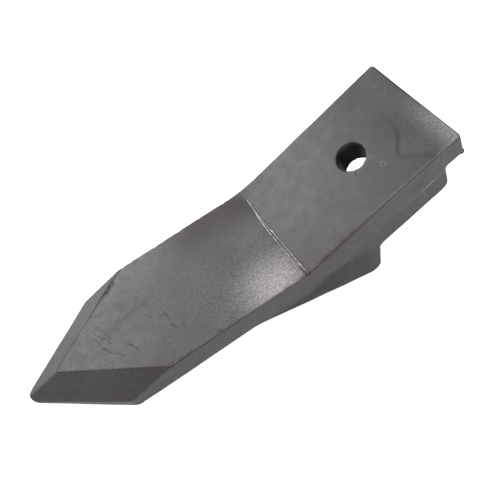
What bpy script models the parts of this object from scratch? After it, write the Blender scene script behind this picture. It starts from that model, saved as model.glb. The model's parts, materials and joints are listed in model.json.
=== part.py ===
"""Bolt-on excavator bucket tooth with the loose bolt kit that holds it to its shank bar.

The tooth is drawn in a frame of its own: the origin is the middle of the strap's rear top edge,
+X runs along the strap towards the point, +Y to the tooth's left and +Z out of the strap's top.
An empty then pitches it nose down, until its heel and its point both touch the floor at z = 0,
and puts the middle of its footprint at the world's origin. The kit stands on the floor on the
bolt's head, behind the heel and under the strap. Metres, +Z up.
"""

from math import asin, atan2, cos, hypot, pi, radians, sin, tan

import bmesh
import bpy
from mathutils import Matrix, Vector

# ---- driving dimensions of the tooth ----
WIDTH = 0.0725                  # across the strap and the blade
REAR_WIDTH = 0.0709             # the strap narrows a little towards its rear end
STRAP_LENGTH = 0.1055           # rear end to crease, along the top
STRAP_THICKNESS = 0.0185
BLADE_PITCH = radians(19.9)     # how far the blade turns up from the strap at the crease
BLADE_THICKNESS = 0.0210
SHOULDER = 0.0887               # crease to shoulder, along the blade's top
APEX = 0.1468                   # crease to where the two bevels' top edges meet
BEVEL_RUN = 0.0296              # how far forward each bevel carries its lower edge
BEVEL_DEPTH = 0.0097            # and how far down
NOSE = 0.1728                   # crease to the sharp nose, at the bevels' lower edges
NOSE_THICKNESS = 0.0112
NOSE_RADIUS = 0.0060            # the nose in plan

HOLE_X = 0.0454
HOLE_DIAMETER = 0.0175          # clearance for an M16 bolt

FLANGE_REAR = 0.0124
FLANGE_BOTTOM = 0.0428          # below the strap's top
CHANNEL_WIDTH = 0.0445          # between the flanges, for the shank bar
SEAT_DEPTH = 0.0211             # the bar's seat, below the strap's top
STOP_X = 0.0661                 # the heel's rear face, where the bar's end stops
HEEL_X = 0.0761                 # the heel's lowest corner
HEEL_DEPTH = 0.0802
KNEE_X = 0.1466
KNEE_DEPTH = 0.0087
HEEL_RADIUS = 0.0075
DRAFT = radians(1.5)            # the heel and flanges lean in below the strap
REAR_CORNER_RADIUS = 0.0020

# ---- driving dimensions of the bolt kit: M16, 60 mm long ----
BOLT_RADIUS = 0.0080
BOLT_LENGTH = 0.0600
THREAD_LENGTH = 0.0380
THREAD_RADIUS = 0.00785
HEAD_FLATS = 0.0240             # across the flats, and the nut's too
HEAD_HEIGHT = 0.0100
WASHER_OUTER = 0.0150
WASHER_INNER = 0.0087
WASHER_THICKNESS = 0.0030
NUT_HEIGHT = 0.0120             # the hexagon, without its collar
COLLAR_HEIGHT = 0.0040
COLLAR_OUTER = 0.0108
COLLAR_INNER = 0.0094
INSERT_HEIGHT = 0.0028
INSERT_INNER = 0.0083
NUT_BORE = 0.0083
NUT_LIFT = 0.0340               # the nut's underside above the floor
LIP_INNER = 0.0088              # the collar's rolled lip over the insert
LIP_THICKNESS = 0.0008
GAP = 0.0003
KIT_X = 0.0055                  # the bolt's axis, from the tooth's own origin, in the world
KIT_Y = 0.0000

BIG = 0.300                     # cutters reach well past the tooth
ARC_STEPS = 7                   # segments to a rounded corner
COLLECTION = "bucket_tooth"


def clear_scene():
    for obj in list(bpy.data.objects):
        bpy.data.objects.remove(obj, do_unlink=True)


def make_collection(name):
    collection = bpy.data.collections.new(name)
    bpy.context.scene.collection.children.link(collection)
    return collection


def material(name, colour, roughness, metallic):
    mat = bpy.data.materials.new(name)
    mat.use_nodes = True
    shader = mat.node_tree.nodes["Principled BSDF"]
    shader.inputs["Base Color"].default_value = (*colour, 1.0)
    shader.inputs["Roughness"].default_value = roughness
    shader.inputs["Metallic"].default_value = metallic
    return mat


def add_object(name, mesh, collection, parent=None, mat=None):
    obj = bpy.data.objects.new(name, mesh)
    collection.objects.link(obj)
    obj.parent = parent
    if mat:
        mesh.materials.append(mat)
    return obj


# ---- outlines ----

def blade_point(along, depth):
    """The tooth-frame x and z of a point so far along the blade's top and so deep below it."""
    return (STRAP_LENGTH + along * cos(BLADE_PITCH) + depth * sin(BLADE_PITCH),
            along * sin(BLADE_PITCH) - depth * cos(BLADE_PITCH))


def rounded_outline(corners):
    """The points of a polygon of (u, v, radius) corners, each rounded with its own arc."""
    points = []
    for i, (u, v, radius) in enumerate(corners):
        here = Vector((u, v))
        if radius == 0:
            points.append(here)
            continue
        before = (Vector(corners[i - 1][:2]) - here).normalized()
        after = (Vector(corners[(i + 1) % len(corners)][:2]) - here).normalized()
        half = before.angle(after) / 2
        centre = here + (before + after).normalized() * radius / sin(half)
        start = here + before * radius / tan(half) - centre
        turn = start.angle_signed(here + after * radius / tan(half) - centre)
        for step in range(ARC_STEPS + 1):
            angle = -turn * step / ARC_STEPS
            points.append(centre + Vector((start.x * cos(angle) - start.y * sin(angle),
                                           start.x * sin(angle) + start.y * cos(angle))))
    return points


def extruded_outline(name, corners, low, high):
    """A mesh of the outline in its own XY plane, from height low to height high."""
    curve = bpy.data.curves.new(name, "CURVE")
    curve.dimensions = "2D"
    curve.fill_mode = "BOTH"
    curve.extrude = (high - low) / 2
    points = rounded_outline(corners)
    spline = curve.splines.new("POLY")
    spline.points.add(len(points) - 1)
    for slot, point in zip(spline.points, points):
        slot.co = (point.x, point.y, 0, 1)
    spline.use_cyclic_u = True
    holder = bpy.data.objects.new(name, curve)
    bpy.context.scene.collection.objects.link(holder)
    graph = bpy.context.evaluated_depsgraph_get()
    mesh = bpy.data.meshes.new_from_object(holder.evaluated_get(graph))
    bpy.data.objects.remove(holder, do_unlink=True)
    bpy.data.curves.remove(curve)
    work = bmesh.new()
    work.from_mesh(mesh)
    bmesh.ops.remove_doubles(work, verts=work.verts, dist=1e-6)
    bmesh.ops.translate(work, verts=work.verts, vec=(0, 0, (low + high) / 2))
    bmesh.ops.recalc_face_normals(work, faces=work.faces)
    work.to_mesh(mesh)
    work.free()
    return mesh


def side_slab(name, corners, half_width):
    """An outline in the tooth's XZ plane, carried across it."""
    mesh = extruded_outline(name, corners, -half_width, half_width)
    mesh.transform(Matrix.Rotation(pi / 2, 4, "X"))
    return mesh


def box_mesh(name, low, high):
    low, high = Vector(low), Vector(high)
    size = high - low
    mesh = bpy.data.meshes.new(name)
    work = bmesh.new()
    bmesh.ops.create_cube(work, size=1.0, matrix=Matrix.Translation((low + high) / 2)
                          @ Matrix.Diagonal((*size, 1)))
    work.to_mesh(mesh)
    work.free()
    return mesh


def cylinder_mesh(name, radius, low, high, segments=64):
    mesh = bpy.data.meshes.new(name)
    work = bmesh.new()
    bmesh.ops.create_cone(work, cap_ends=True, segments=segments, radius1=radius, radius2=radius,
                          depth=high - low, matrix=Matrix.Translation((0, 0, (low + high) / 2)))
    work.to_mesh(mesh)
    work.free()
    return mesh


def half_space(name, point, along, outward):
    """A big box standing on the plane through the point, on its outward side."""
    z_axis = Vector(outward).normalized()
    x_axis = Vector(along).normalized()
    y_axis = z_axis.cross(x_axis)
    mesh = box_mesh(name, (-BIG, -BIG, 0), (BIG, BIG, BIG))
    frame = Matrix((x_axis, y_axis, z_axis)).transposed().to_4x4()
    mesh.transform(Matrix.Translation(point) @ frame)
    return mesh


def boolean(target, operation, name, mesh, cutters, parent):
    """Join or cut the target with a hidden object made of the mesh."""
    tool = add_object(name, mesh, cutters, parent)
    tool.hide_render = True
    tool.display_type = "WIRE"
    step = target.modifiers.new(name, "BOOLEAN")
    step.operation = operation
    step.solver = "EXACT"
    step.object = tool


def smooth_shading(mesh, angle=40):
    mesh.shade_smooth()
    mesh.set_sharp_from_angle(angle=radians(angle))


# ---- the tooth ----

def plate_corners():
    """Strap and blade seen from the side: one plate, bent up at the crease, thin at the nose."""
    overhang = NOSE + 0.006
    taper = (BLADE_THICKNESS - NOSE_THICKNESS) / (NOSE - SHOULDER - BEVEL_RUN)
    end_depth = NOSE_THICKNESS - taper * (overhang - NOSE)
    return [(0, 0, 0.0012), (STRAP_LENGTH, 0, 0), (*blade_point(overhang, 0), 0),
            (*blade_point(overhang, end_depth), 0),
            (*blade_point(SHOULDER + BEVEL_RUN, BLADE_THICKNESS), 0),
            (*blade_point(0.0040, BLADE_THICKNESS + 0.0008), 0),
            (0, -STRAP_THICKNESS, 0.0012)]


def heel_corners():
    """Flanges and heel seen from the side, with their top hidden inside the plate."""
    inside = -STRAP_THICKNESS / 2
    return [(FLANGE_REAR - 0.0008, inside, 0), (*blade_point(0.0480, 0.0100), 0),
            (KNEE_X, -KNEE_DEPTH, 0.0120), (HEEL_X, -HEEL_DEPTH, HEEL_RADIUS),
            (STOP_X, -FLANGE_BOTTOM, 0.0045), (FLANGE_REAR + 0.0010, -FLANGE_BOTTOM, 0.0060)]


def blade_plan_corners():
    """The blade from above its own face: open to the rear, a spear point to the front."""
    half = WIDTH / 2
    shoulder = SHOULDER + BEVEL_RUN
    return [(-BIG, -BIG, 0), (-0.1, -BIG, 0), (-0.1, -half, 0), (shoulder, -half, 0.0015),
            (NOSE, 0, NOSE_RADIUS), (shoulder, half, 0.0015), (-0.1, half, 0), (-0.1, BIG, 0),
            (-BIG, BIG, 0)]


def strap_plan_corners():
    """The strap from above: its sides close in a little towards rounded rear corners."""
    half, rear = WIDTH / 2, REAR_WIDTH / 2
    return [(0, -rear, REAR_CORNER_RADIUS), (STRAP_LENGTH, -half, 0), (BIG, -half - 0.001, 0),
            (BIG, half + 0.001, 0), (STRAP_LENGTH, half, 0), (0, rear, REAR_CORNER_RADIUS)]


def resting_pitch():
    """The pitch at which the heel's rounded corner and the nose's lower end touch one floor."""
    rear = Vector((STOP_X - HEEL_X, HEEL_DEPTH - FLANGE_BOTTOM)).normalized()
    front = Vector((KNEE_X - HEEL_X, HEEL_DEPTH - KNEE_DEPTH)).normalized()
    half = rear.angle(front) / 2
    centre = Vector((HEEL_X, -HEEL_DEPTH)) + (rear + front).normalized() * HEEL_RADIUS / sin(half)
    slant = atan2(WIDTH / 2, NOSE - SHOULDER - BEVEL_RUN)
    tip_along = NOSE - NOSE_RADIUS * (1 / sin(slant) - 1)
    taper = (BLADE_THICKNESS - NOSE_THICKNESS) / (NOSE - SHOULDER - BEVEL_RUN)
    tip = Vector(blade_point(tip_along, NOSE_THICKNESS + taper * (NOSE - tip_along)))
    reach = tip - centre
    return atan2(reach.y, reach.x) + asin(HEEL_RADIUS / hypot(*reach))


def build_tooth(parts, cutters, frame):
    steel = material("forged_steel", (0.085, 0.080, 0.078), 0.55, 0.75)
    tooth = add_object("tooth_body", side_slab("plate", plate_corners(), WIDTH / 2 + 0.001),
                       parts, frame, steel)

    heel = side_slab("heel_block", heel_corners(), 1.0)
    for vert in heel.vertices:
        # the heel and flanges lean in below the strap's lower edge
        vert.co.y *= WIDTH / 2 + (vert.co.z + STRAP_THICKNESS) * tan(DRAFT)
    boolean(tooth, "UNION", "heel_block", heel, cutters, frame)

    channel = box_mesh("channel", (-0.02, -CHANNEL_WIDTH / 2, -BIG), (STOP_X, CHANNEL_WIDTH / 2, -SEAT_DEPTH))
    boolean(tooth, "DIFFERENCE", "channel", channel, cutters, frame)

    plan = extruded_outline("strap_plan", strap_plan_corners(), -BIG, BIG)
    boolean(tooth, "INTERSECT", "strap_plan", plan, cutters, frame)

    blade_frame = Matrix.Translation((STRAP_LENGTH, 0, 0)) @ Matrix.Rotation(-BLADE_PITCH, 4, "Y")
    plan = extruded_outline("blade_plan", blade_plan_corners(), -BIG, BIG)
    plan.transform(blade_frame)
    boolean(tooth, "INTERSECT", "blade_plan", plan, cutters, frame)

    for side in (-1, 1):
        top_edge = Vector((APEX - SHOULDER, -side * WIDTH / 2, 0))
        down = Vector((BEVEL_RUN, 0, -BEVEL_DEPTH))
        normal = top_edge.cross(down) * side
        bevel = half_space(f"bevel_{side}", (SHOULDER, side * WIDTH / 2, 0), top_edge, normal)
        bevel.transform(blade_frame)
        boolean(tooth, "DIFFERENCE", f"bevel_{side}", bevel, cutters, frame)

    bore = cylinder_mesh("bore", HOLE_DIAMETER / 2, -0.05, 0.05)
    bore.transform(Matrix.Translation((HOLE_X, 0, 0)))
    boolean(tooth, "DIFFERENCE", "bore", bore, cutters, frame)
    return tooth


def evaluated_box(obj):
    """The lowest and highest world corners of an object with its modifiers on."""
    bpy.context.view_layer.update()
    graph = bpy.context.evaluated_depsgraph_get()
    seen = obj.evaluated_get(graph)
    points = [seen.matrix_world @ vert.co for vert in seen.data.vertices]
    return [Vector(pick(point[axis] for point in points) for axis in range(3))
            for pick in (min, max)]


# ---- the bolt kit: everything is turned or hexagonal about its own Z axis ----

def hexagon_mesh(name, flats, low, high, chamfer_top=0.0, chamfer_bottom=0.0):
    """A hexagonal prism with flats facing along X, its corners turned off at the ends."""
    mesh = bpy.data.meshes.new(name)
    work = bmesh.new()
    bmesh.ops.create_cone(work, cap_ends=True, segments=6, radius1=flats / 2 / cos(pi / 6),
                          radius2=flats / 2 / cos(pi / 6), depth=high - low,
                          matrix=Matrix.Translation((0, 0, (low + high) / 2))
                          @ Matrix.Rotation(pi / 6, 4, "Z"))
    work.to_mesh(mesh)
    work.free()
    reach = flats / 2 / cos(pi / 6)
    rise = (reach - flats / 2 * 0.95) * tan(pi / 6)
    profile = [(0.0, low), (reach + 0.001, low), (reach + 0.001, high), (0.0, high)]
    if chamfer_top:
        profile[2:3] = [(reach + 0.001, high - rise - 0.001 * tan(pi / 6)), (flats / 2 * 0.95, high)]
    if chamfer_bottom:
        profile[1:2] = [(flats / 2 * 0.95, low), (reach + 0.001, low + rise + 0.001 * tan(pi / 6))]
    return mesh, profile


def turned_mesh(name, profile, segments=48):
    """A closed mesh from a profile of (radius, height) points, turned about Z."""
    mesh = bpy.data.meshes.new(name)
    work = bmesh.new()
    closed = all(radius > 0 for radius, _ in profile)
    verts = [work.verts.new((radius, 0, height)) for radius, height in profile]
    edges = [work.edges.new(pair) for pair in zip(verts, verts[1:])]
    if closed:
        edges.append(work.edges.new((verts[-1], verts[0])))
    bmesh.ops.spin(work, geom=verts + edges, axis=(0, 0, 1), cent=(0, 0, 0), dvec=(0, 0, 0),
                   angle=2 * pi, steps=segments, use_merge=True)
    bmesh.ops.remove_doubles(work, verts=work.verts, dist=1e-6)
    bmesh.ops.recalc_face_normals(work, faces=work.faces)
    work.to_mesh(mesh)
    work.free()
    return mesh


def build_bolt(parts, cutters, stand):
    steel = material("bolt_steel", (0.05, 0.05, 0.05), 0.45, 0.85)
    head, profile = hexagon_mesh("bolt_head", HEAD_FLATS, 0, HEAD_HEIGHT, chamfer_bottom=1.0)
    bolt = add_object("fixing_bolt", head, parts, stand, steel)
    boolean(bolt, "INTERSECT", "head_turning", turned_mesh("head_turning", profile), cutters, stand)
    top = HEAD_HEIGHT + BOLT_LENGTH
    thread_start = top - THREAD_LENGTH
    shank = [(0, HEAD_HEIGHT - 0.002), (BOLT_RADIUS, HEAD_HEIGHT - 0.002),
             (BOLT_RADIUS, thread_start), (THREAD_RADIUS, thread_start + 0.0008),
             (THREAD_RADIUS, top - 0.0015), (THREAD_RADIUS - 0.0015, top), (0, top)]
    boolean(bolt, "UNION", "shank", turned_mesh("shank", shank), cutters, stand)
    return bolt


def build_washer(name, low, parts, stand):
    zinc = material(name + "_zinc", (0.55, 0.55, 0.52), 0.35, 0.9)
    edge = 0.0003
    high = low + WASHER_THICKNESS
    profile = [(WASHER_INNER, low), (WASHER_OUTER - edge, low), (WASHER_OUTER, low + edge),
               (WASHER_OUTER, high - edge), (WASHER_OUTER - edge, high), (WASHER_INNER, high)]
    mesh = turned_mesh(name, profile, 64)
    smooth_shading(mesh)
    return add_object(name, mesh, parts, stand, zinc)


def build_nut(parts, cutters, stand):
    zinc = material("nut_zinc", (0.55, 0.55, 0.52), 0.35, 0.9)
    hexagon, profile = hexagon_mesh("lock_nut", HEAD_FLATS, 0, NUT_HEIGHT, 1.0, 1.0)
    hexagon.transform(Matrix.Translation((0, 0, NUT_LIFT)))
    nut = add_object("lock_nut", hexagon, parts, stand, zinc)
    profile = [(radius, height + NUT_LIFT) for radius, height in profile]
    boolean(nut, "INTERSECT", "nut_turning", turned_mesh("nut_turning", profile), cutters, stand)
    base = NUT_LIFT + NUT_HEIGHT
    top = base + COLLAR_HEIGHT
    collar = [(0, base - 0.002), (COLLAR_OUTER, base - 0.002), (COLLAR_OUTER, top - 0.001),
              (COLLAR_OUTER - 0.001, top), (0, top)]
    boolean(nut, "UNION", "collar", turned_mesh("collar", collar), cutters, stand)
    seat = top - LIP_THICKNESS - INSERT_HEIGHT - 2 * GAP
    hollow = [(0, NUT_LIFT - 0.01), (NUT_BORE, NUT_LIFT - 0.01), (NUT_BORE, seat),
              (COLLAR_INNER, seat), (COLLAR_INNER, top - LIP_THICKNESS),
              (LIP_INNER, top - LIP_THICKNESS), (LIP_INNER, top + 0.01), (0, top + 0.01)]
    boolean(nut, "DIFFERENCE", "nut_hollow", turned_mesh("nut_hollow", hollow), cutters, stand)
    return seat


def build_insert(seat, parts, stand):
    nylon = material("nylon", (0.05, 0.14, 0.42), 0.4, 0.0)
    low, high = seat + GAP, seat + GAP + INSERT_HEIGHT
    outer = COLLAR_INNER - GAP
    profile = [(INSERT_INNER, low), (outer, low), (outer, high), (INSERT_INNER, high)]
    mesh = turned_mesh("lock_insert", profile, 64)
    smooth_shading(mesh)
    return add_object("lock_insert", mesh, parts, stand, nylon)


def main():
    clear_scene()
    parts = make_collection(COLLECTION)
    cutters = make_collection("cutters")

    attitude = bpy.data.objects.new("attitude", None)
    parts.objects.link(attitude)
    attitude.rotation_euler = (0, resting_pitch(), 0)
    tooth = build_tooth(parts, cutters, attitude)
    low, high = evaluated_box(tooth)
    shift = Vector((-(low.x + high.x) / 2, -(low.y + high.y) / 2, -low.z))
    attitude.location = shift

    stand = bpy.data.objects.new("bolt_axis", None)
    parts.objects.link(stand)
    stand.location = (shift.x + KIT_X, KIT_Y, 0)
    build_bolt(parts, cutters, stand)
    washer_low = HEAD_HEIGHT + GAP
    for name in ("head_washer", "nut_washer"):
        build_washer(name, washer_low, parts, stand)
        washer_low += WASHER_THICKNESS + GAP
    seat = build_nut(parts, cutters, stand)
    build_insert(seat, parts, stand)


main()
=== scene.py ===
"""The finished surfaces of a bolt-on bucket tooth and its loose bolt kit, built round the CAD frame.

The tooth's skin is the zero surface of one signed distance field, written in the tooth's own
frame: X from the strap's rear end towards the point, Y to its left, Z out of the strap's top.
The fasteners are grids of angle by profile. Metres throughout.
"""

import json
import logging
from dataclasses import dataclass, field
from enum import Enum
from math import cos, pi, radians, sin, tan

import bmesh
import bpy
import numpy as np
from mathutils import Euler, Matrix, Vector


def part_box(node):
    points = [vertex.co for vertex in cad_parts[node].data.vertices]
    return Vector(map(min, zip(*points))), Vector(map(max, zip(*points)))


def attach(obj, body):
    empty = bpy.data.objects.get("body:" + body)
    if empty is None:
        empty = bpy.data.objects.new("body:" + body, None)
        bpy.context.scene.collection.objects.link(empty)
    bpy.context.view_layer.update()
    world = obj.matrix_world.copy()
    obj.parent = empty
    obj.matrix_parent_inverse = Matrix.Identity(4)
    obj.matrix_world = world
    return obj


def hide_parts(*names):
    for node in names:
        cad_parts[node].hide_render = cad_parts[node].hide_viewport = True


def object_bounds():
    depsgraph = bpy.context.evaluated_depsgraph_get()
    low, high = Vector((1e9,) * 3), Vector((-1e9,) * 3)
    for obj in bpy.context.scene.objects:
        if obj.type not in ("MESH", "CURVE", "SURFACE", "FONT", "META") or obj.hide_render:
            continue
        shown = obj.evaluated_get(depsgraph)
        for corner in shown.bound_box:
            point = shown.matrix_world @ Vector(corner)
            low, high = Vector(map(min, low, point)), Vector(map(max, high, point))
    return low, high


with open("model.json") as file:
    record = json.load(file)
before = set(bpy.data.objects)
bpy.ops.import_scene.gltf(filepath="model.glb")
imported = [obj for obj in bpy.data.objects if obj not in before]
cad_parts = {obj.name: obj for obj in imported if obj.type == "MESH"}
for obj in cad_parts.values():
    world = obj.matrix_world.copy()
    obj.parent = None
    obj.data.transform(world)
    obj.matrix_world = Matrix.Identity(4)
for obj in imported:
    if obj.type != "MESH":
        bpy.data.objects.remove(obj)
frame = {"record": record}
CAD_BOX = [list(corner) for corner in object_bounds()]

Array = np.ndarray
Socket = bpy.types.NodeSocket
Colour = tuple[float, float, float, float]
log = logging.getLogger("bucket_tooth")


# ---- signed distance fields ----

@dataclass
class Samples:
    """Signed distances at some points, negative inside, with their unit gradients if wanted.

    Attributes:
        value: one distance a point.
        slope: the gradients as a (3, points) array, or None where only distances are wanted.
    """

    value: Array
    slope: Array | None = None

    def __neg__(self) -> "Samples":
        """The same surface with inside and outside exchanged."""
        return Samples(-self.value, None if self.slope is None else -self.slope)


def meet(a: Samples, b: Samples, radius: float | Array = 0.0, lean: float = 0.0) -> Samples:
    """The intersection of two solids, its edge rounded with an arc.

    With A and B the distances plus the radius, and c the cosine between the two gradients, a
    point lies over the arc where A > cB and B > cA. Its distance from the arc's centre is the
    root of (A^2 + B^2 - 2ABc) / (1 - c^2). Elsewhere the larger distance holds.

    Args:
        a: the first solid's samples.
        b: the second solid's samples.
        radius: the edge's radius, one number or one a point.
        lean: the cosine between the two gradients, for samples that carry none.

    Returns:
        The samples of the intersection.
    """
    high_a, high_b = a.value + radius, b.value + radius
    exact = a.slope is not None and b.slope is not None
    cosine = np.clip((a.slope * b.slope).sum(0), -0.999, 0.999) if exact else lean
    square = 1.0 - cosine * cosine
    over_arc = (high_a > cosine * high_b) & (high_b > cosine * high_a)
    away = np.sqrt(np.maximum(high_a**2 + high_b**2 - 2 * high_a * high_b * cosine, 0) / square)
    value = np.where(over_arc, away - radius, np.maximum(a.value, b.value))
    if not exact:
        return Samples(value)
    part_a = (high_a - cosine * high_b) / square
    part_b = (high_b - cosine * high_a) / square
    arc = (part_a * a.slope + part_b * b.slope) / np.maximum(away, 1e-12)
    flat = np.where(a.value > b.value, a.slope, b.slope)
    return Samples(value, np.where(over_arc, arc, flat))


def join(a: Samples, b: Samples, radius: float | Array = 0.0, lean: float = 0.0) -> Samples:
    """The union of two solids, with a fillet of the radius in the corner between them."""
    return -meet(-a, -b, radius, lean)


def carve(a: Samples, b: Samples, radius: float | Array = 0.0) -> Samples:
    """The first solid without the second, the new edge rounded with the radius."""
    return meet(a, -b, radius)


class Place:
    """Points in the tooth's frame, mirrored to its left side, that planes are measured from.

    The points' own y, before they are mirrored, stays in across.
    """

    def __init__(self, points: Array, with_slope: bool) -> None:
        """Keeps the points.

        Args:
            points: a (3, points) array in the tooth's frame.
            with_slope: whether gradients are wanted too.
        """
        self.points = np.stack([points[0], np.abs(points[1]), points[2]])
        self.across = points[1]
        self.with_slope = with_slope

    def plane(self, through: tuple[float, float, float],
              normal: tuple[float, float, float]) -> Samples:
        """The half-space behind a plane: the distance is (point - through) . normal."""
        unit = np.asarray(normal, float) / np.linalg.norm(normal)
        value = unit @ self.points - float(unit @ np.asarray(through))
        return Samples(value, unit[:, None] * np.ones_like(value) if self.with_slope else None)

    def upright_cylinder(self, x: float, radius: float) -> Samples:
        """A cylinder along Z with its axis at y = 0: the distance to the axis less the radius."""
        dx, dy = self.points[0] - x, self.points[1]
        away = np.maximum(np.hypot(dx, dy), 1e-9)
        slope = np.stack([dx / away, dy / away, np.zeros_like(dx)]) if self.with_slope else None
        return Samples(away - radius, slope)


def smooth_step(value: Array, low: float, high: float) -> Array:
    """0 below low, 1 above high, and the cubic 3t^2 - 2t^3 between them."""
    t = np.clip((value - low) / (high - low), 0.0, 1.0)
    return t * t * (3 - 2 * t)


def ripple(points: Array, wavelength: float, seed: int, waves: int = 14) -> Array:
    """A smooth random relief of about unit height.

    Args:
        points: a (3, points) array.
        wavelength: the typical distance from crest to crest.
        seed: which relief.
        waves: how many plane sine waves of random direction and phase are added.

    Returns:
        One height a point: the waves' sum over the root of half their number.
    """
    draw = np.random.default_rng(seed)
    ways = draw.normal(size=(waves, 3))
    ways /= np.linalg.norm(ways, axis=1)[:, None]
    rates = 2 * pi / wavelength * draw.uniform(0.6, 1.5, size=waves)
    phases = draw.uniform(0, 2 * pi, size=waves)
    return np.sin((ways * rates[:, None]) @ points + phases[:, None]).sum(0) / np.sqrt(waves / 2)


# ---- meshes ----

def mesh_object(name: str, points: Array, quads: Array, normals: Array | None = None,
                triangles: Array | None = None) -> bpy.types.Object:
    """A smooth-shaded mesh object at the origin.

    Args:
        name: the object's name.
        points: a (points, 3) array in the row frame.
        quads: a (faces, 4) array of point numbers.
        normals: a (points, 3) array of shading normals, or None for the faces' own.
        triangles: a (faces, 3) array of point numbers for further faces.

    Returns:
        The object, linked to the scene.
    """
    if triangles is None:
        triangles = np.zeros((0, 3), int)
    corners = np.concatenate([quads.ravel(), triangles.ravel()])
    sizes = np.concatenate([np.full(len(quads), 4), np.full(len(triangles), 3)])
    mesh = bpy.data.meshes.new(name)
    mesh.vertices.add(len(points))
    mesh.vertices.foreach_set("co", points.astype(np.float32).ravel())
    mesh.loops.add(len(corners))
    mesh.loops.foreach_set("vertex_index", corners.astype(np.int32))
    mesh.polygons.add(len(sizes))
    mesh.polygons.foreach_set("loop_start", (np.cumsum(sizes) - sizes).astype(np.int32))
    mesh.update(calc_edges=True)
    mesh.shade_smooth()
    if normals is not None:
        mesh.normals_split_custom_set_from_vertices(normals.astype(np.float32))
    obj = bpy.data.objects.new(name, mesh)
    bpy.context.scene.collection.objects.link(obj)
    return obj


def store(obj: bpy.types.Object, name: str, values: Array) -> None:
    """Puts one number, or one (3,) vector, a vertex into a named attribute of the mesh."""
    if values.ndim == 1:
        layer = obj.data.attributes.new(name, "FLOAT", "POINT")
        layer.data.foreach_set("value", values.astype(np.float32))
    else:
        layer = obj.data.attributes.new(name, "FLOAT_VECTOR", "POINT")
        layer.data.foreach_set("vector", values.astype(np.float32).ravel())


def surface_net(values: Array) -> tuple[Array, Array]:
    """The zero surface of samples on a lattice, as quads with one vertex a crossed cell.

    A vertex is the mean of the points where its cell's edges cross zero, and every lattice edge
    that crosses zero gives the quad of the four cells round it.

    Args:
        values: distances on an (x, y, z) lattice.

    Returns:
        The vertices as a (points, 3) array in lattice steps, and the quads, facing outwards.
    """
    inside = values < 0
    shape = tuple(n - 1 for n in values.shape)
    corners = [(i, j, k) for i in (0, 1) for j in (0, 1) for k in (0, 1)]

    def corner_of(data: Array, at: tuple[int, int, int]) -> Array:
        """The data at one corner of every cell."""
        i, j, k = at
        return data[i:i + shape[0], j:j + shape[1], k:k + shape[2]]

    count = sum(corner_of(inside, at).astype(np.int8) for at in corners)
    cells = (count > 0) & (count < 8)
    number = np.full(shape, -1, np.int64)
    number[cells] = np.arange(int(cells.sum()))
    held = np.stack([corner_of(values, at)[cells] for at in corners])
    total = np.zeros((3, held.shape[1]))
    crossings = np.zeros(held.shape[1])
    for a, start in enumerate(corners):
        for b, end in enumerate(corners):
            if b <= a or sum(abs(p - q) for p, q in zip(start, end)) != 1:
                continue
            crossed = (held[a] < 0) != (held[b] < 0)
            share = np.where(crossed, held[a] / np.where(crossed, held[a] - held[b], 1.0), 0.0)
            spot = np.array(start)[:, None] + share * (np.array(end) - np.array(start))[:, None]
            total += np.where(crossed, spot, 0.0)
            crossings += crossed
    vertices = (np.stack(np.nonzero(cells)) + total / crossings).T

    quads = []
    for axis in range(3):
        second, third = (axis + 1) % 3, (axis + 2) % 3
        here = np.take(inside, range(values.shape[axis] - 1), axis)
        there = np.take(inside, range(1, values.shape[axis]), axis)
        change = here != there
        spots = np.stack(np.nonzero(change))
        roomy = np.ones(spots.shape[1], bool)
        for other in (second, third):
            roomy &= (spots[other] > 0) & (spots[other] < values.shape[other] - 1)
        spots = spots[:, roomy]
        ring = []
        for back_second, back_third in ((1, 1), (0, 1), (0, 0), (1, 0)):
            cell = spots.copy()
            cell[second] -= back_second
            cell[third] -= back_third
            ring.append(number[tuple(cell)])
        quad = np.stack(ring, 1)
        outward = here[tuple(spots)]
        quad[~outward] = quad[~outward][:, ::-1]
        quads.append(quad)
    return vertices, np.concatenate(quads)


def end_fans(count: int, rings: int) -> Array:
    """The triangles that close a grid of rings at both its ends.

    Args:
        count: how many points are in a ring.
        rings: how many rings, whose points come first; the low and the high pole follow them.

    Returns:
        A (faces, 3) array of point numbers.
    """
    ring, following = np.arange(count), (np.arange(count) + 1) % count
    last, low_pole = (rings - 1) * count, np.full(count, rings * count)
    return np.concatenate([np.stack([following, ring, low_pole], 1),
                           np.stack([ring + last, following + last, low_pole + 1], 1)])


def neighbour_mean(points: Array, quads: Array) -> Array:
    """The mean of each vertex's neighbours along the quads' sides, as a (points, 3) array."""
    start = quads.ravel()
    end = np.roll(quads, -1, axis=1).ravel()
    count = np.bincount(start, minlength=len(points)) + np.bincount(end, minlength=len(points))
    sums = [np.bincount(start, points[end, axis], len(points))
            + np.bincount(end, points[start, axis], len(points)) for axis in range(3)]
    return np.stack(sums, 1) / count[:, None]


# ---- materials ----

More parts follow.
